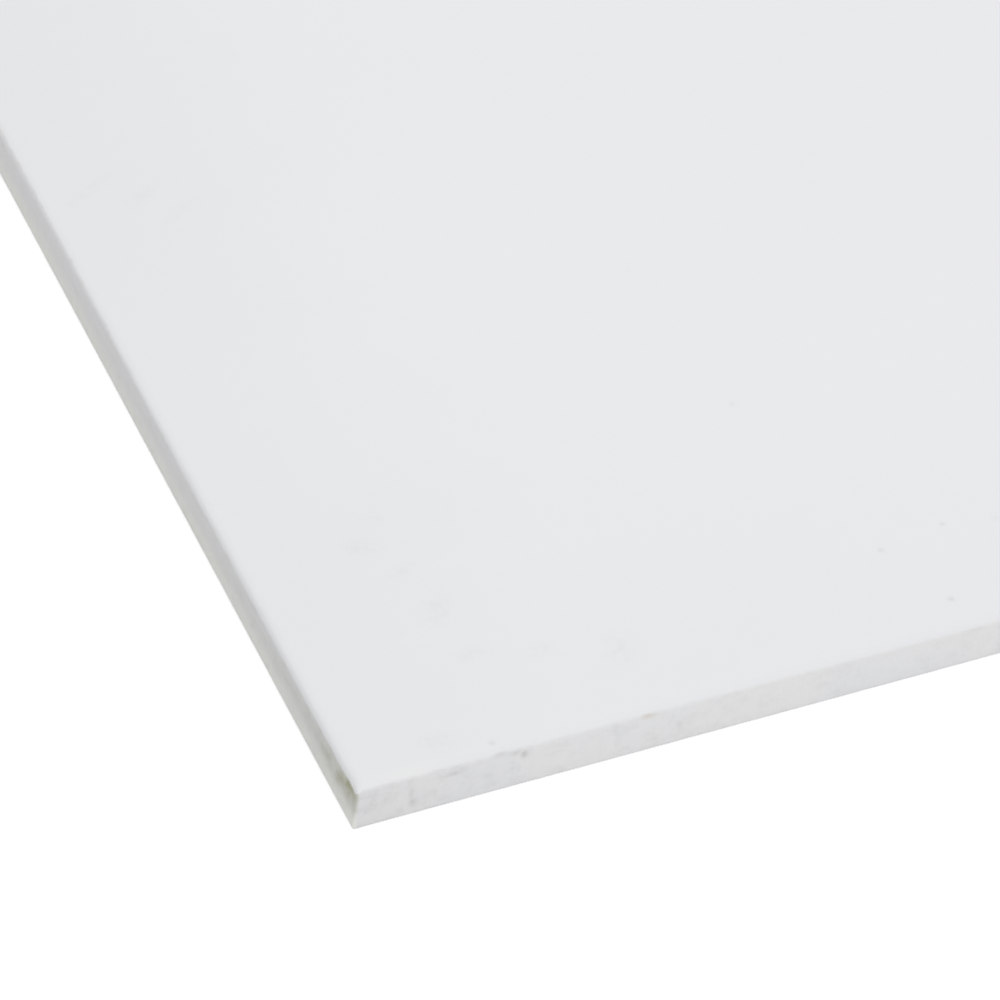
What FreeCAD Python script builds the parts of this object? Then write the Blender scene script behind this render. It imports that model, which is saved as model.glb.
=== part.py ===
"""White rigid PVC sheet, a flat rectangle of expanded plastic with lightly eased edges.

It is one extruded piece, sawn to length and width, so it is one body.
It lies flat: X runs along its length, Y across its width and Z up through its thickness.
The origin is the middle of its underside. Every size is in millimetres.
"""

import FreeCAD
import Part
import Sketcher
import os

NODE_FOLDER = "parts"

# how a sketch numbers the ends of a line, and its own origin as (geometry, point)
LINE_START = 1
LINE_END = 2
SKETCH_ORIGIN = (-1, 1)

UNDERSIDE_HEIGHT = 0.0

# how far an edge's middle may be from the height of the face that it belongs to
LEVEL_TOLERANCE = 0.001

# alias, value, what it is
DRIVING_SIZES = (
    ("sheet_length", 1000.0, "sawn length, along X"),
    ("sheet_width", 500.0, "sawn width, along Y"),
    ("sheet_thickness", 5.0, "extruded thickness, along Z"),
    ("corner_round", 0.3, "radius of the four upright corners, sawn sharp and just knocked off"),
    ("top_arris_round", 0.5, "radius of the sanded edges around the top face"),
    ("underside_arris_round", 0.25, "radius of the edges around the underside, only knocked off"),
)


def make_size_sheet(doc):
    """Writes the driving sizes into a spreadsheet, one aliased cell each."""
    sizes = doc.addObject("Spreadsheet::Sheet", "Sizes")
    for row, (alias, value, meaning) in enumerate(DRIVING_SIZES, start=1):
        sizes.set(f"A{row}", alias)
        sizes.set(f"B{row}", str(value))
        sizes.set(f"C{row}", meaning)
        sizes.setAlias(f"B{row}", alias)
    doc.recompute()
    return sizes


def origin_plane(body, role):
    """The body's own origin plane that has this role."""
    return next(plane for plane in body.Origin.OriginFeatures if plane.Role == role)


def edge_names(shape, wanted):
    """The names of the edges for which wanted(edge) is true."""
    return [f"Edge{n}" for n, edge in enumerate(shape.Edges, start=1) if wanted(edge)]


def stands_upright(edge):
    """True for an edge that runs through the thickness."""
    box = edge.BoundBox
    return box.ZLength > box.XLength + box.YLength


def lies_at(height):
    """A test that is true for an edge that lies level at this height."""
    return lambda edge: not stands_upright(edge) and abs(edge.CenterOfMass.z - height) < LEVEL_TOLERANCE


def draw_outline(body, sizes):
    """The rectangle of the sheet, centred on the origin and bound to the driving sizes."""
    outline = body.newObject("Sketcher::SketchObject", "Outline")
    outline.AttachmentSupport = [(origin_plane(body, "XY_Plane"), "")]
    outline.MapMode = "FlatFace"

    half_length, half_width = sizes.get("sheet_length") / 2, sizes.get("sheet_width") / 2
    corners = [
        FreeCAD.Vector(x, y, 0)
        for x, y in (
            (-half_length, -half_width),
            (half_length, -half_width),
            (half_length, half_width),
            (-half_length, half_width),
        )
    ]
    front, right, back, left = (
        outline.addGeometry(Part.LineSegment(start, end))
        for start, end in zip(corners, corners[1:] + corners[:1])
    )
    for line, following in ((front, right), (right, back), (back, left), (left, front)):
        joined = Sketcher.Constraint("Coincident", line, LINE_END, following, LINE_START)
        outline.addConstraint(joined)
    for line in (front, back):
        outline.addConstraint(Sketcher.Constraint("Horizontal", line))
    for line in (right, left):
        outline.addConstraint(Sketcher.Constraint("Vertical", line))
    centred = Sketcher.Constraint("Symmetric", front, LINE_START, back, LINE_START, *SKETCH_ORIGIN)
    outline.addConstraint(centred)

    for name, kind, line in (
        ("sheet_length", "DistanceX", front),
        ("sheet_width", "DistanceY", right),
    ):
        span = Sketcher.Constraint(kind, line, LINE_START, line, LINE_END, sizes.get(name))
        index = outline.addConstraint(span)
        outline.renameConstraint(index, name)
        outline.setExpression(f"Constraints.{name}", f"Sizes.{name}")
    return outline


def round_edges(doc, body, base, name, edges, size):
    """Rounds the named edges of the base feature by one of the driving sizes."""
    rounding = body.newObject("PartDesign::Fillet", name)
    rounding.Base = (base, edges)
    rounding.setExpression("Radius", f"Sizes.{size}")
    doc.recompute()
    return rounding


def make_pvc_sheet(doc, sizes):
    """The sheet: its outline extruded to the thickness, then eased along every edge."""
    body = doc.addObject("PartDesign::Body", "pvc_sheet")
    body.Label = "pvc_sheet"
    body.Placement = FreeCAD.Placement()
    outline = draw_outline(body, sizes)

    slab = body.newObject("PartDesign::Pad", "Slab")
    slab.Profile = outline
    slab.setExpression("Length", "Sizes.sheet_thickness")
    doc.recompute()

    upright = edge_names(slab.Shape, stands_upright)
    corners = round_edges(doc, body, slab, "RoundedCorners", upright, "corner_round")

    around_top = edge_names(corners.Shape, lies_at(sizes.get("sheet_thickness")))
    sanded = round_edges(doc, body, corners, "TopArris", around_top, "top_arris_round")

    around_underside = edge_names(sanded.Shape, lies_at(UNDERSIDE_HEIGHT))
    round_edges(doc, body, sanded, "UndersideArris", around_underside, "underside_arris_round")
    return body


def check_document(doc, bodies):
    """Stops if any object failed to compute, or if a body isn't one valid solid."""
    for thing in doc.Objects:
        if "Invalid" in thing.State or "Error" in thing.State:
            raise RuntimeError(f"{thing.Label} failed: {thing.State}")
    for body in bodies:
        shape = body.Shape
        if shape.isNull() or not shape.isValid() or len(shape.Solids) != 1:
            raise RuntimeError(f"{body.Label} isn't one valid solid")


def main():
    doc = FreeCAD.newDocument("pvc_sheet_model")
    sizes = make_size_sheet(doc)
    bodies = [make_pvc_sheet(doc, sizes)]
    doc.recompute()
    check_document(doc, bodies)

    os.makedirs(NODE_FOLDER, exist_ok=True)
    for body in bodies:
        body.Shape.exportStep(os.path.join(NODE_FOLDER, f"{body.Label}.step"))
        box = body.Shape.optimalBoundingBox()
        print(
            f"{body.Label}: {box.XLength:.3f} x {box.YLength:.3f} x {box.ZLength:.3f} mm, "
            f"{len(body.Shape.Faces)} faces, {body.Shape.Volume:.1f} mm3"
        )


main()
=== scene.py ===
"""The looks of a white foamed PVC sheet: satin skin on both faces, duller sawn edges, a few marks.

Everything is in metres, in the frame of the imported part: X along the length, Y across the width,
Z up through the thickness, with the origin in the middle of the underside.
"""

import math

import bpy
from mathutils import Matrix, Vector, geometry, noise


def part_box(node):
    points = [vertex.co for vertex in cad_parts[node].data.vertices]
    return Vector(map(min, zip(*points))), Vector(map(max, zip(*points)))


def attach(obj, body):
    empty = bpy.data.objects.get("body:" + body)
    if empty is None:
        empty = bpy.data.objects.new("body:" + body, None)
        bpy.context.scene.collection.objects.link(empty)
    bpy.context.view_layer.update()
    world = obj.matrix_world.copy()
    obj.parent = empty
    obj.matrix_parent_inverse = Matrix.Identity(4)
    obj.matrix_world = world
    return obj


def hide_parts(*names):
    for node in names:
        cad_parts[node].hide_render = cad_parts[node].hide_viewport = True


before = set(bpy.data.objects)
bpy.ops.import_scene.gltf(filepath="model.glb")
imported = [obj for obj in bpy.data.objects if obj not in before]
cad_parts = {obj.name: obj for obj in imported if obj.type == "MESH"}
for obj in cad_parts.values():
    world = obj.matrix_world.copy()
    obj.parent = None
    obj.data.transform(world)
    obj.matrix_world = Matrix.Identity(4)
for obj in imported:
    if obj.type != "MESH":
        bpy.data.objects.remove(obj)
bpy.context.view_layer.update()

MM = 0.001
LOW, HIGH = (Vector(corner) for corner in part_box("pvc_sheet"))
LENGTH, WIDTH, THICKNESS = HIGH - LOW

# ---------------------------------------------------------------- the sheet's own sizes

CORNER_ROUND = 0.3 * MM
TOP_ARRIS = 0.5 * MM
UNDERSIDE_ARRIS = 0.25 * MM
TOP_ARRIS_STEPS = 6
UNDERSIDE_ARRIS_STEPS = 3
CORNER_STEPS = 5
SIDE_ROWS = 9

# round a corner the arris is narrower than elsewhere, so that it stays inside the corner's own round
CORNER_ARRIS_SHARE = 0.56
CORNER_ARRIS_REACH = 1.5 * MM

# the edge is divided finely near the corners and more widely between them
FINE_STEP = 0.42 * MM
WIDE_STEP = 1.7 * MM
FINE_REACH = 85 * MM
WIDE_REACH = 150 * MM

# rings of points that widen from the edge to the plain middle: inset, spacing
FACE_RINGS = (
    (0.5 * MM, 0.9 * MM),
    (1.5 * MM, 1.9 * MM),
    (3.6 * MM, 4.0 * MM),
    (8.0 * MM, 8.0 * MM),
)
MIDDLE_SPACING = 20 * MM
# the room between the last ring and the even middle, as a share of the middle's spacing
MIDDLE_GAP = 0.6

# how a face is divided: only inside its border, and points nearer than this, in metres, become one
KEEP_INSIDE = 1
POINTS_APART = 1e-7

# depths of the unevenness that sawing and sanding leave, all cut inwards
SAW_WANDER = 0.025 * MM
SAW_CHATTER = 0.02 * MM
ARRIS_UNEVEN = 0.05 * MM
WANDER_SIZE = 28 * MM
CHATTER_SIZE = 1.8 * MM
CHATTER_STRETCH = 0.4
ARRIS_LUMP_SIZE = 2.6 * MM


class Nick:
    """A small dent: where it is from the front left corner, how wide and how deep, in millimetres."""

    def __init__(self, x, y, z, wide, tall, deep):
        self.at = Vector((LOW.x + x * MM, LOW.y + y * MM, LOW.z + z * MM))
        self.wide = wide * MM
        self.tall = tall * MM
        self.deep = deep * MM

    def depth(self, place):
        """How far this dent cuts in at a place on the edge."""
        off = place - self.at
        share = (off.x ** 2 + off.y ** 2) / self.wide ** 2 + (off.z / self.tall) ** 2
        return self.deep * math.exp(-share)


NICKS = (
    Nick(5.66, 0.0, 1.6, wide=0.45, tall=0.8, deep=0.13),
    Nick(9.4, 0.0, 3.95, wide=0.7, tall=0.35, deep=0.12),
    Nick(13.8, 0.0, 4.72, wide=0.8, tall=0.45, deep=0.12),
    Nick(16.1, 0.0, 4.0, wide=0.6, tall=0.5, deep=0.20),
    Nick(28.2, 0.0, 4.73, wide=0.6, tall=0.4, deep=0.06),
    Nick(31.5, 0.0, 2.4, wide=0.5, tall=0.5, deep=0.10),
    Nick(0.0, 1.5, 4.0, wide=0.9, tall=0.8, deep=0.10),
)


# ---------------------------------------------------------------- shader expressions


def socket_of(value):
    """The socket inside an expression, or the plain value itself."""
    return value.socket if isinstance(value, Expr) else value


class Expr:
    """A shader socket that takes part in Python arithmetic, each step one Math node."""

    def __init__(self, shader, socket):
        self.shader = shader
        self.socket = socket

    def math(self, operation, *values):
        """One Math node on these values."""
        return self.shader.node("ShaderNodeMath", {"operation": operation}, dict(enumerate(values)))

    def __add__(self, other):
        return self.math("ADD", self, other)

    def __radd__(self, other):
        return self.math("ADD", other, self)

    def __sub__(self, other):
        return self.math("SUBTRACT", self, other)

    def __rsub__(self, other):
        return self.math("SUBTRACT", other, self)

    def __mul__(self, other):
        return self.math("MULTIPLY", self, other)

    def __rmul__(self, other):
        return self.math("MULTIPLY", other, self)

    def __truediv__(self, other):
        return self.math("DIVIDE", self, other)

    def __rtruediv__(self, other):
        return self.math("DIVIDE", other, self)

    def __neg__(self):
        return self.math("MULTIPLY", self, -1.0)

    def __abs__(self):
        return self.math("ABSOLUTE", self)

    def least(self, other):
        return self.math("MINIMUM", self, other)

    def most(self, other):
        return self.math("MAXIMUM", self, other)

    def falloff(self):
        """e to the power of minus this."""
        return self.math("EXPONENT", -self)

    def bell(self, middle, width):
        """1 where this is at the middle, dying away within about the width on both sides."""
        off = (self - middle) / width
        return (off * off).falloff()

    def limited(self):
        """Kept between 0 and 1."""
        return self.most(0.0).least(1.0)

    def ramp(self, low, high, start=0.0, end=1.0):
        """Goes smoothly from start to end as this goes from low to high."""
        values = {"Value": self, "From Min": low, "From Max": high, "To Min": start, "To Max": end}
        return self.shader.node("ShaderNodeMapRange", {"interpolation_type": "SMOOTHSTEP"}, values)


class Shader:
    """The node tree of one material or of the world."""

    def __init__(self, owner):
        owner.use_nodes = True
        self.tree = owner.node_tree
        self.tree.nodes.clear()

    def node(self, kind, settings=None, values=None, output=0):
        """Adds a node, sets it up, fills its sockets by name or number and gives one output."""
        made = self.tree.nodes.new(kind)
        for name, setting in (settings or {}).items():
            setattr(made, name, setting)
        for name, value in (values or {}).items():
            self.fill(made.inputs[name], value)
        return Expr(self, made.outputs[output])

    def fill(self, socket, value):
        """Links an expression to a socket, or sets a plain value on it."""
        value = socket_of(value)
        if isinstance(value, bpy.types.NodeSocket):
            self.tree.links.new(value, socket)
        else:
            socket.default_value = value

    def place(self):
        """The point being shaded, in the object's own metres."""
        return self.node("ShaderNodeTexCoord", output="Object")

    def axes(self, vector):
        """The X, Y and Z of a vector."""
        return [
            self.node("ShaderNodeSeparateXYZ", values={"Vector": vector}, output=axis)
            for axis in "XYZ"
        ]

    def scaled(self, vector, factors):
        """A vector with each of its axes multiplied by its own factor."""
        settings = {"operation": "MULTIPLY"}
        return self.node("ShaderNodeVectorMath", settings, {0: vector, 1: factors})

    def noise(self, vector, size, detail=2.0, roughness=0.5, seed=0.0):
        """Soft noise from 0 to 1 whose lumps are about size metres across."""
        values = {
            "Vector": vector,
            "W": seed,
            "Scale": 1.0 / size,
            "Detail": detail,
            "Roughness": roughness,
        }
        return self.node("ShaderNodeTexNoise", {"noise_dimensions": "4D"}, values)

    def mix(self, factor, first, second):
        """Blends two colours."""
        values = {"Factor": factor, 6: first, 7: second}
        return self.node("ShaderNodeMix", {"data_type": "RGBA"}, values, output=2)

    def mix_number(self, factor, first, second):
        """Blends two numbers."""
        return first + (second - first) * factor

    def bump(self, height):
        """A normal from a height in millimetres."""
        return self.node("ShaderNodeBump", values={"Height": height, "Distance": MM, "Strength": 1.0})

    def finish(self, surface, kind="ShaderNodeOutputMaterial"):
        """Makes this surface what the tree shows."""
        made = self.tree.nodes.new(kind)
        self.fill(made.inputs["Surface"], surface)


def rgb(red, green, blue):
    """A linear colour, with the full alpha that a socket wants."""
    return (red, green, blue, 1.0)


# ---------------------------------------------------------------- the sheet's material

SKIN_WHITE = rgb(0.815, 0.823, 0.840)
SKIN_GREY = rgb(0.765, 0.774, 0.792)
# a neutral, less blue white for the painted sheen on the top arris
SKIN_SHEEN = rgb(0.812, 0.815, 0.812)
# a grey for scuffs, specks and smudges, and for the painted shade inside the nicks of the front edge
GRIME_AND_NICK_SHADE = rgb(0.560, 0.560, 0.560)
CUT_WHITE = rgb(0.787, 0.788, 0.791)
CUT_COOL = rgb(0.776, 0.782, 0.794)
CUT_DARK = rgb(0.610, 0.612, 0.617)
# the crosscut ends: painted bounce light makes them lighter and warmer low down, painted shade darker grey
# higher up
END_LOW_BOUNCE_LIT = rgb(0.860, 0.862, 0.825)
END_HIGH_LESS_LIT = rgb(0.745, 0.747, 0.755)
OLIVE = rgb(0.330, 0.330, 0.200)
TAN = rgb(0.500, 0.410, 0.290)

# marks are placed in millimetres from the underside's front left corner; this is the top face's height
TOP = THICKNESS / MM

# specks on the top face: x, y, radius, strength
SPECKS = (
    (60.56, 3.77, 0.28, 0.42),
    (57.27, 11.56, 0.28, 0.34),
    (64.25, 12.74, 0.24, 0.34),
    (52.55, 33.74, 0.35, 0.16),
    (69.35, 11.82, 0.35, 0.12),
    (13.58, 1.43, 0.30, 0.30),
)
# faint scuffs on the top face: x, y, half length, half width, turn in degrees, strength
SCUFFS = (
    (11.77, 27.6, 1.5, 0.9, 20, 0.16),
    (14.5, 30.4, 1.1, 0.6, 20, 0.13),
    (14.6, 23.6, 1.6, 0.5, -10, 0.13),
    (15.4, 18.1, 1.9, 1.2, -60, 0.16),
    (16.0, 11.9, 1.5, 0.7, 0, 0.14),
    (28.9, 8.0, 1.2, 1.5, 10, 0.16),
    (22.1, 10.4, 1.3, 0.7, 0, 0.13),
    (8.9, 3.4, 1.6, 0.8, 15, 0.16),
    (5.6, 81.6, 3.0, 0.6, -30, 0.10),
    (9.9, 79.1, 2.4, 0.7, -30, 0.11),
    (12.8, 75.8, 2.2, 0.6, -30, 0.10),
)
# marks on the long front edge, and painted shade inside its nicks, which the strongest entries sit on: x
# and z, half length, half height, strength
FRONT_STAINS_AND_NICK_SHADE = (
    (1.7, 2.85, 0.4, 0.6, 0.12),
    (5.66, 1.55, 0.38, 0.50, 0.66),
    (5.4, 2.86, 0.26, 0.75, 0.40),
    (6.9, 1.87, 0.35, 0.45, 0.14),
    (9.35, 3.94, 0.65, 0.26, 0.60),
    (11.8, 4.72, 0.40, 0.35, 0.12),
    (13.8, 4.72, 0.70, 0.28, 0.46),
    (15.3, 4.50, 0.55, 0.28, 0.40),
    (16.2, 3.92, 0.32, 0.42, 0.78),
    (19.4, 4.04, 0.50, 0.35, 0.13),
    (25.4, 2.47, 0.35, 0.60, 0.12),
    (31.5, 2.38, 0.40, 0.42, 0.34),
    (37.8, 3.46, 0.50, 0.50, 0.11),
    (49.5, 2.40, 0.45, 0.45, 0.10),
    (59.0, 1.70, 0.60, 0.50, 0.11),
)
# grime on the crosscut left edge: y and z, half length, half height, strength
END_STAINS = (
    (1.4, 4.2, 0.9, 0.65, 0.40),
    (2.5, 3.5, 1.2, 0.75, 0.24),
    (3.8, 2.6, 0.7, 0.70, 0.20),
    (6.5, 3.4, 1.0, 0.70, 0.14),
)

# how far marks reach into the sheet, behind the face that shows them
FACE_MARK_DEPTH = 1.0
FRONT_MARK_DEPTH = 1.5
END_MARK_DEPTH = 1.0

# larger soft marks: middle, reach, and how strongly they show
# painted shade: a broad grey patch on the top face towards the far left
SHADE_PATCH = (8, 92, TOP), (26, 26, 26), 0.20
# painted sheen: the top arris by the near corner is painted neutral, as where it catches the light
ARRIS_SHEEN = (4.6, 0.6, TOP), (4.6, 0.8, 1.5), 0.8
TAN_SPOT = (28.2, 0.1, 4.68), (0.75, 0.8, 0.36), 0.32

# painted shade on the skin: how far it greys the skin in from the ends and the long sides, and how strongly
PAINTED_SHADE_END = 36 * MM
PAINTED_SHADE_SIDE = 30 * MM
PAINTED_SHADE_SIDE_SHARE = 0.40
PAINTED_SHADE_WANDER = 16 * MM
PAINTED_SHADE_GREYS = 0.55
CLOUD_DULLS = 0.14
MOTTLE_DULLS = 0.20

# what darkens the sawn foam
FLECK_DARKENS = 0.26
PORE_DARKENS = 0.14
SAW_DARKENS = 0.16
CORNER_DARKENS = 0.33
CORNER_DARK_REACH = 13 * MM

# the band of grime on the left edge
GRIME_HEIGHT = 3.1 * MM
GRIME_RISE = 0.8 * MM
GRIME_BAND = 1.8 * MM

# relief of the skin and of the sawn foam, in millimetres
SKIN_GRAIN = 0.004
SKIN_UNEVEN = 0.006
CUT_PORES = 0.022
CUT_SAW_MARKS = 0.022


def mark(shader, place, middle, reach, turn=0.0):
    """A soft mark, 1 at its middle and dying away within its reach, in millimetres from the corner."""
    origin = (LOW.x, LOW.y, LOW.z)
    centre = tuple(start + offset * MM for start, offset in zip(origin, middle))
    off = shader.node("ShaderNodeVectorMath", {"operation": "SUBTRACT"}, {0: place, 1: centre})
    if turn:
        values = {"Vector": off, "Axis": (0, 0, 1), "Angle": math.radians(turn)}
        off = shader.node("ShaderNodeVectorRotate", {"rotation_type": "AXIS_ANGLE"}, values)
    off = shader.scaled(off, tuple(1 / (length * MM) for length in reach))
    settings = {"operation": "DOT_PRODUCT"}
    far = shader.node("ShaderNodeVectorMath", settings, {0: off, 1: off}, output="Value")
    return far.falloff()


def skin_colour(shader, place):
    """The smooth extruded face: near white, faintly clouded, with painted shade that greys it towards its
    ends, its long sides and a patch at the far left.
    """
    x, y, _ = shader.axes(place)
    cloud = shader.noise(place, 60 * MM, detail=3.0, seed=2.0).ramp(0.30, 0.70, 1.0, 0.0)
    blotch = shader.noise(place, 9 * MM, detail=4.0, roughness=0.6, seed=5.0)
    mottle = shader.noise(place, 1.6 * MM, detail=3.0, roughness=0.65, seed=8.0)
    # painted shade: the skin is greyed towards the ends and the long sides, a fall-off of light painted
    # into the colour
    wander = (blotch - 0.5) * PAINTED_SHADE_WANDER
    shade_from_end = (LENGTH / 2 - abs(x) + wander).ramp(0.0, PAINTED_SHADE_END, 1.0, 0.0)
    in_from_side = WIDTH / 2 - abs(y) + wander
    shade_from_side = in_from_side.ramp(0.0, PAINTED_SHADE_SIDE, PAINTED_SHADE_SIDE_SHARE, 0.0)
    painted_shade = shade_from_end.most(shade_from_side)
    middle, reach, strength = SHADE_PATCH
    patch = mark(shader, place, middle, reach) * strength
    grey_and_shade = painted_shade * PAINTED_SHADE_GREYS + patch + cloud * CLOUD_DULLS + (mottle - 0.5) * MOTTLE_DULLS
    return shader.mix(grey_and_shade.limited(), SKIN_WHITE, SKIN_GREY)


def marked_skin(shader, place):
    """The skin with its specks and scuffs, and a painted sheen on the top arris by the near corner."""
    scratches = shader.noise(place, 0.7 * MM, roughness=0.6, seed=17.0)
    scratchy = scratches.ramp(0.36, 0.70, 0.15, 1.0)
    scuffs = sum(
        mark(shader, place, (x, y, TOP), (long, wide, FACE_MARK_DEPTH), turn) * strength
        for x, y, long, wide, turn, strength in SCUFFS
    )
    specks = sum(
        mark(shader, place, (x, y, TOP), (radius, radius, FACE_MARK_DEPTH)) * strength
        for x, y, radius, strength in SPECKS
    )
    colour = shader.mix((scuffs * scratchy + specks).limited(), skin_colour(shader, place), GRIME_AND_NICK_SHADE)
    # painted sheen along the top arris by the near corner
    middle, reach, strength = ARRIS_SHEEN
    return shader.mix(mark(shader, place, middle, reach) * strength, colour, SKIN_SHEEN)


def cut_texture(shader, place):
    """The three grains of the sawn foam: flecks, opened cells and upright saw marks."""
    fleck = shader.noise(place, 1.4 * MM, detail=3.0, roughness=0.6, seed=35.0)
    pore = shader.noise(place, 0.28 * MM, detail=2.0, roughness=0.6, seed=38.0)
    upright = shader.scaled(place, (1.0, 1.0, 0.22))
    saw = shader.noise(upright, 0.55 * MM, detail=2.0, seed=41.0)
    return fleck, pore, saw


def cut_colour(shader, place, texture):
    """The sawn edge of all four sides, before the stains, with painted bounce light low on the crosscut
    ends.
    """
    x, _, z = shader.axes(place)
    fleck, pore, saw = texture
    patch = shader.noise(place, 9 * MM, detail=2.0, seed=31.0).ramp(0.35, 0.65)
    colour = shader.mix(patch, CUT_WHITE, CUT_COOL)
    # painted light and shade: the crosscut ends go from bounce-lit low down to darker higher up
    bounce_fade = z.ramp(0.3 * MM, 3.4 * MM)
    on_end = (LENGTH / 2 - abs(x)).ramp(0.15 * MM, 0.45 * MM, 1.0, 0.0)
    colour = shader.mix(on_end, colour, shader.mix(bounce_fade, END_LOW_BOUNCE_LIT, END_HIGH_LESS_LIT))
    near = ((x - LOW.x) / CORNER_DARK_REACH).falloff() * (1 - on_end) * CORNER_DARKENS
    torn = fleck.ramp(0.45, 0.80) * (FLECK_DARKENS + near)
    torn = torn + (pore - 0.5) * PORE_DARKENS + (saw - 0.5) * SAW_DARKENS
    return shader.mix((torn + near).limited(), colour, CUT_DARK)


def stained_cut(shader, place, texture):
    """The sawn edge with its smudges and the painted shade in its nicks, the olive grime by the near corner
    and one tan mark.
    """
    x, y, z = shader.axes(place)
    # smudges on the front edge, and painted shade inside its nicks
    front = sum(
        mark(shader, place, (x0, 0, z0), (long, FRONT_MARK_DEPTH, high)) * strength
        for x0, z0, long, high, strength in FRONT_STAINS_AND_NICK_SHADE
    )
    colour = shader.mix(front.limited(), cut_colour(shader, place, texture), GRIME_AND_NICK_SHADE)
    middle, reach, strength = TAN_SPOT
    colour = shader.mix(mark(shader, place, middle, reach) * strength, colour, TAN)

    on_left = (x - LOW.x).ramp(0.10 * MM, 0.50 * MM, 1.0, 0.0)
    blotchy = texture[0].ramp(0.30, 0.70, 0.75, 1.25)
    from_corner = y - LOW.y
    darkest = GRIME_HEIGHT + (from_corner / (15 * MM)).falloff() * GRIME_RISE
    spread = (from_corner / (9 * MM)).falloff() * 0.40 + (from_corner / (30 * MM)).falloff() * 0.13
    grime = spread * z.bell(darkest, GRIME_BAND)
    grime = grime + sum(
        mark(shader, place, (0, y0, z0), (END_MARK_DEPTH, long, high)) * strength
        for y0, z0, long, high, strength in END_STAINS
    )
    return shader.mix((grime * on_left * blotchy).limited(), colour, OLIVE)


def arris_shift(shader, place):
    """How far the line where the skin gives way moves down along the left and the front edge."""
    x, y, z = shader.axes(place)
    from_left, from_front = x - LOW.x, y - LOW.y
    on_left = from_left.ramp(0.3 * MM, 0.8 * MM, 1.0, 0.0)
    on_front = from_front.ramp(0.3 * MM, 0.8 * MM, 1.0, 0.0)
    left = on_left * from_front.ramp(15 * MM, 95 * MM, 0.16 * MM, -0.20 * MM)
    front = on_front * from_left.ramp(25 * MM, 60 * MM, 0.0, 0.20 * MM)
    return (left + front) * z.ramp(THICKNESS / 2, THICKNESS * 0.8)


def sheet_material():
    """White foamed PVC: satin skin on both faces, which gives way to matt sawn foam over the arrises."""
    material = bpy.data.materials.new("white_pvc")
    shader = Shader(material)
    place = shader.place()
    z = shader.axes(place)[2]
    texture = cut_texture(shader, place)
    fleck, pore, saw = texture
    grain = shader.noise(place, 0.32 * MM, detail=2.0, seed=11.0)
    uneven = shader.noise(place, 2.4 * MM, detail=3.0, roughness=0.6, seed=21.0)

    from_face = z.least(THICKNESS - z) + (fleck - 0.5) * (0.16 * MM)
    from_face = from_face - arris_shift(shader, place)
    is_cut = from_face.ramp(0.04 * MM, 0.30 * MM)
    skin_height = grain * SKIN_GRAIN + uneven * SKIN_UNEVEN
    cut_height = pore * CUT_PORES + saw * CUT_SAW_MARKS
    values = {
        "Base Color": shader.mix(is_cut, marked_skin(shader, place), stained_cut(shader, place, texture)),
        "Roughness": 0.50 + is_cut * 0.22 + (fleck - 0.5) * 0.10,
        "IOR": 1.46,
        "Normal": shader.bump(shader.mix_number(is_cut, skin_height, cut_height)),
    }
    shader.finish(shader.node("ShaderNodeBsdfPrincipled", values=values))
    return material


# ---------------------------------------------------------------- the sheet's mesh


def graded_stations(length):
    """Distances along one straight run, close together at both ends and wider in the middle."""
    half = [0.0]
    while half[-1] < length / 2:
        share = (half[-1] - FINE_REACH) / (WIDE_REACH - FINE_REACH)
        share = min(max(share, 0.0), 1.0)
        half.append(half[-1] + FINE_STEP + (WIDE_STEP - FINE_STEP) * share)
    stretch = length / 2 / half[-1]
    half = [place * stretch for place in half]
    return half + [length - place for place in reversed(half[:-1])]


def arris_share(from_corner):
    """How much of its full width the arris has at this distance from the nearest corner."""
    return CORNER_ARRIS_SHARE + (1 - CORNER_ARRIS_SHARE) * min(1.0, from_corner / CORNER_ARRIS_REACH)


def outline():
    """The edge's stations round the sheet, anticlockwise: point, outward direction, arris share."""
    stations = []
    middle = (LOW + HIGH) / 2
    centres = [
        Vector((middle.x + sx * (LENGTH / 2 - CORNER_ROUND), middle.y + sy * (WIDTH / 2 - CORNER_ROUND), 0))
        for sx, sy in ((-1, -1), (1, -1), (1, 1), (-1, 1))
    ]
    for side, centre in enumerate(centres):
        start_angle = math.pi + side * math.pi / 2
        for step in range(CORNER_STEPS):
            angle = start_angle + math.pi / 2 * step / CORNER_STEPS
            out = Vector((math.cos(angle), math.sin(angle), 0))
            stations.append((centre + out * CORNER_ROUND, out, CORNER_ARRIS_SHARE))
        run = centres[(side + 1) % 4] - centre
        angle = start_angle + math.pi / 2
        out = Vector((math.cos(angle), math.sin(angle), 0))
        for place in graded_stations(run.length)[:-1]:
            point = centre + run * (place / run.length) + out * CORNER_ROUND
            stations.append((point, out, arris_share(min(place, run.length - place))))
    return stations


def arris(steps, first_angle):
    """A rounded arris, a quarter turn from its first angle: how far out and up each step faces."""
    rows = []
    for step in range(steps + 1):
        angle = first_angle + math.pi / 2 * step / steps
        rows.append((math.cos(angle), math.sin(angle)))
    return rows


def section():
    """The edge's section from underside to top: inset, height and how much each row faces out and up."""
    rows = []
    for out, up in arris(UNDERSIDE_ARRIS_STEPS, -math.pi / 2):
        rows.append((UNDERSIDE_ARRIS * (1 - out), UNDERSIDE_ARRIS * (1 + up), out, up))
    straight = THICKNESS - UNDERSIDE_ARRIS - TOP_ARRIS
    for row in range(1, SIDE_ROWS):
        rows.append((0.0, UNDERSIDE_ARRIS + straight * row / SIDE_ROWS, 1.0, 0.0))
    for out, up in arris(TOP_ARRIS_STEPS, 0.0):
        rows.append((TOP_ARRIS * (1 - out), THICKNESS - TOP_ARRIS * (1 - up), out, up))
    return rows


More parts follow.
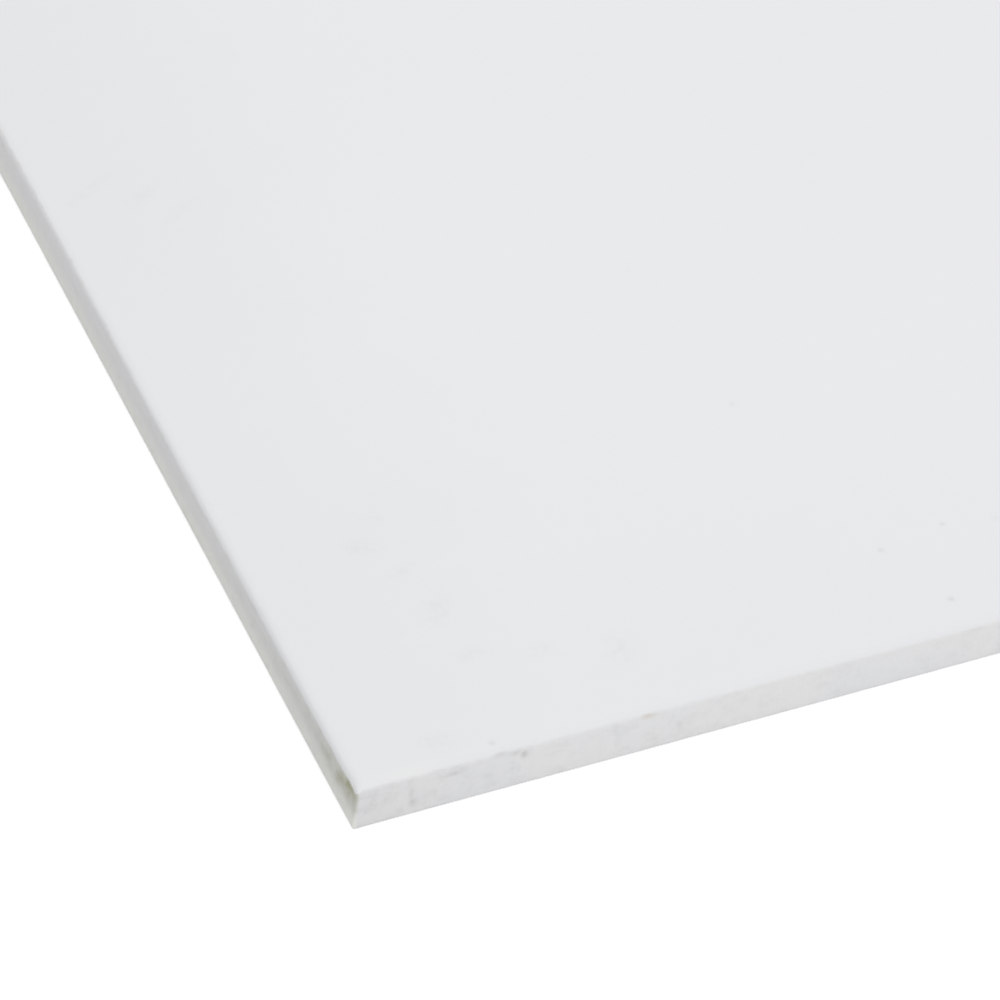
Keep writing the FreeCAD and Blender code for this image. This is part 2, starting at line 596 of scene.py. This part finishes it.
def worn(place, normal, out_share):
    """Moves a point of the edge inwards by what sawing, sanding and knocks took off."""
    flat = Vector((place.x, place.y, 0.0))
    streaked = Vector((place.x, place.y, place.z * CHATTER_STRETCH))
    wander = 0.5 + 0.5 * noise.noise(flat / WANDER_SIZE)
    chatter = 0.5 + 0.5 * noise.noise(streaked / CHATTER_SIZE)
    depth = (SAW_WANDER * wander + SAW_CHATTER * chatter) * out_share
    if 0.0 < out_share < 1.0:
        lumps = 0.5 + 0.5 * noise.noise(flat / ARRIS_LUMP_SIZE)
        depth += ARRIS_UNEVEN * lumps * math.sqrt(out_share * (1 - out_share)) * 2
    depth += sum(nick.depth(place) for nick in NICKS) * min(1.0, 2 * out_share)
    return place - normal * depth


def edge_rings():
    """All the points of the edge, one list for each row of the section."""
    stations = outline()
    rings = []
    for inset, height, out_share, up_share in section():
        ring = []
        for point, out, share in stations:
            place = Vector((point.x, point.y, LOW.z + height)) - out * (inset * share)
            normal = out * out_share + Vector((0, 0, up_share))
            ring.append(worn(place, normal, out_share))
        rings.append(ring)
    return rings


def ring_points(inset, spacing):
    """Points along a rectangle that lies inside the sheet's outline by the inset."""
    left, right = LOW.x + inset, HIGH.x - inset
    front, back = LOW.y + inset, HIGH.y - inset
    across = round((right - left) / spacing)
    deep = round((back - front) / spacing)
    points = []
    for i in range(across + 1):
        x = left + (right - left) * i / across
        points += [Vector((x, front)), Vector((x, back))]
    for j in range(1, deep):
        y = front + (back - front) * j / deep
        points += [Vector((left, y)), Vector((right, y))]
    return points


def face_points(arris_round):
    """Points inside one face: rings that widen from its border, then an even grid."""
    points = []
    for inset, spacing in FACE_RINGS:
        points += ring_points(arris_round + inset, spacing)
    inset = arris_round + FACE_RINGS[-1][0] + MIDDLE_SPACING * MIDDLE_GAP
    across = round((LENGTH - 2 * inset) / MIDDLE_SPACING)
    deep = round((WIDTH - 2 * inset) / MIDDLE_SPACING)
    for i in range(across + 1):
        for j in range(deep + 1):
            x = LOW.x + inset + (LENGTH - 2 * inset) * i / across
            y = LOW.y + inset + (WIDTH - 2 * inset) * j / deep
            points.append(Vector((x, y)))
    return points


def face_net(border, arris_round):
    """Divides one face into triangles: its points, its triangles and where each point came from."""
    flat = [Vector((p.x, p.y)) for p in border]
    count = len(flat)
    loop = [(i, (i + 1) % count) for i in range(count)]
    verts, _, faces, sources, _, _ = geometry.delaunay_2d_cdt(
        flat + face_points(arris_round), loop, [], KEEP_INSIDE, POINTS_APART
    )
    return verts, faces, sources


def band_faces(rows, count):
    """The squares between neighbouring rings of the edge."""
    faces = []
    for row in range(rows - 1):
        low, high = row * count, (row + 1) * count
        for i in range(count):
            after = (i + 1) % count
            faces.append((low + i, low + after, high + after, high + i))
    return faces


def build_sheet(material):
    """One closed mesh: the worn edge all round, and a fine-bordered face above and below."""
    rings = edge_rings()
    count = len(rings[0])
    points = [p for ring in rings for p in ring]
    faces = band_faces(len(rings), count)
    ends = (
        (0, LOW.z, UNDERSIDE_ARRIS, False),
        (len(rings) - 1, HIGH.z, TOP_ARRIS, True),
    )
    for ring, height, arris_round, facing_up in ends:
        verts, triangles, sources = face_net(rings[ring], arris_round)
        numbers = []
        for vert, source in zip(verts, sources):
            on_border = [s for s in source if s < count]
            if on_border:
                numbers.append(ring * count + on_border[0])
            else:
                numbers.append(len(points))
                points.append(Vector((vert.x, vert.y, height)))
        for triangle in triangles:
            corners = [numbers[v] for v in triangle]
            faces.append(corners if facing_up else corners[::-1])

    mesh = bpy.data.meshes.new("sheet")
    mesh.from_pydata(points, [], faces)
    mesh.materials.append(material)
    mesh.polygons.foreach_set("use_smooth", [True] * len(faces))
    mesh.update()
    sheet = bpy.data.objects.new("foamed_sheet", mesh)
    bpy.context.scene.collection.objects.link(sheet)
    return sheet


# ---------------------------------------------------------------- studio

FLOOR_SIZE = 60.0
FLOOR_WHITE = rgb(0.88, 0.88, 0.88)
# keeps the floor's surface from lying in the very plane of the underside
FLOOR_GAP = 0.03 * MM
SKY_LEVEL = 1.155
LEFT_SHADE = 0.62
GLOW = 0.42


def seen_directly(shader):
    """1 for rays that show the surroundings as they look: camera, mirror and glass rays."""
    rays = [
        shader.node("ShaderNodeLightPath", output=name)
        for name in ("Is Camera Ray", "Is Glossy Ray", "Is Transmission Ray")
    ]
    return rays[0].most(rays[1]).most(rays[2])


def make_sky():
    """A soft even sky that is shaded low on the left, and plain white where it is seen."""
    world = bpy.data.worlds.new("studio")
    bpy.context.scene.world = world
    shader = Shader(world)
    direction = shader.node("ShaderNodeTexCoord", output="Generated")
    x = shader.axes(direction)[0]
    level = (-x).ramp(0.0, 0.9, SKY_LEVEL, SKY_LEVEL * (1 - LEFT_SHADE))
    light = shader.node("ShaderNodeBackground", values={"Color": rgb(1, 1, 1), "Strength": level})
    white = shader.node("ShaderNodeBackground", values={"Color": rgb(1, 1, 1), "Strength": 1.0})
    sky = shader.node("ShaderNodeMixShader", values={0: seen_directly(shader), 1: light, 2: white})
    shader.finish(sky, "ShaderNodeOutputWorld")


def make_floor():
    """A wide matt white floor that glows a little where it is seen, so it reads as white paper."""
    material = bpy.data.materials.new("studio_floor")
    shader = Shader(material)
    matt = shader.node("ShaderNodeBsdfDiffuse", values={"Color": FLOOR_WHITE})
    glow = shader.node("ShaderNodeEmission", values={"Strength": seen_directly(shader) * GLOW})
    shader.finish(shader.node("ShaderNodeAddShader", values={0: matt, 1: glow}))

    half = FLOOR_SIZE / 2
    level = LOW.z - FLOOR_GAP
    corners = [(-half, -half, level), (half, -half, level), (half, half, level), (-half, half, level)]
    mesh = bpy.data.meshes.new("studio_floor")
    mesh.from_pydata(corners, [], [(0, 1, 2, 3)])
    mesh.materials.append(material)
    floor = bpy.data.objects.new("studio_floor", mesh)
    bpy.context.scene.collection.objects.link(floor)


VIEW_AZIMUTH = math.radians(28.19)
VIEW_ELEVATION = math.radians(44.49)
VIEW_ROLL = math.radians(6.49)
VIEW_DISTANCE = 461.9 * MM
VIEW_AIM = Vector((LOW.x + 26.44 * MM, LOW.y + 29.08 * MM, HIGH.z))
LENS_MM = 180.0
SENSOR_MM = 36.0
CLIP_NEAR = 1 * MM
CLIP_FAR = 200.0


def make_camera():
    """A long lens close over the front left corner, looking down along the sheet."""
    data = bpy.data.cameras.new("camera")
    data.lens = LENS_MM
    data.sensor_width = SENSOR_MM
    data.clip_start = CLIP_NEAR
    data.clip_end = CLIP_FAR
    look = Vector(
        (
            math.sin(VIEW_AZIMUTH) * math.cos(VIEW_ELEVATION),
            math.cos(VIEW_AZIMUTH) * math.cos(VIEW_ELEVATION),
            -math.sin(VIEW_ELEVATION),
        )
    )
    camera = bpy.data.objects.new("camera", data)
    turned = look.to_track_quat("-Z", "Y").to_matrix() @ Matrix.Rotation(VIEW_ROLL, 3, "Z")
    camera.matrix_world = Matrix.Translation(VIEW_AIM - look * VIEW_DISTANCE) @ turned.to_4x4()
    bpy.context.scene.collection.objects.link(camera)
    bpy.context.scene.camera = camera


def main():
    sheet = build_sheet(sheet_material())
    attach(sheet, "root")
    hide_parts("pvc_sheet")
    make_sky()
    make_floor()
    make_camera()
    bpy.context.scene.view_settings.view_transform = "Standard"


main()
